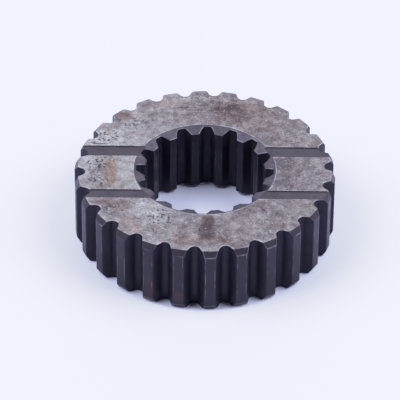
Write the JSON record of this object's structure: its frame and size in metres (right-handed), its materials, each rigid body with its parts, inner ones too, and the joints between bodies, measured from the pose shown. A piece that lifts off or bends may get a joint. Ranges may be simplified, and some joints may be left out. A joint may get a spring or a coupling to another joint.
{
  "type": "splined hub",
  "caption": "Flat steel hub with an involute spline outside and another in its bore, chamfered ends and shallow grooves across its top face.",
  "frame": {"origin": "centre of the bottom face, on the hub's axis", "axes": "+Z along the hub's axis, out of the grooved face; +X along the two grooves"},
  "size_m": [0.081, 0.081, 0.023],
  "materials": {
    "machined_steel": "worn bare steel on the flat faces, dark oxide in the splines"
  },
  "bodies": {
    "root": {"splined_hub": "machined_steel"}
  },
  "joints": []
}
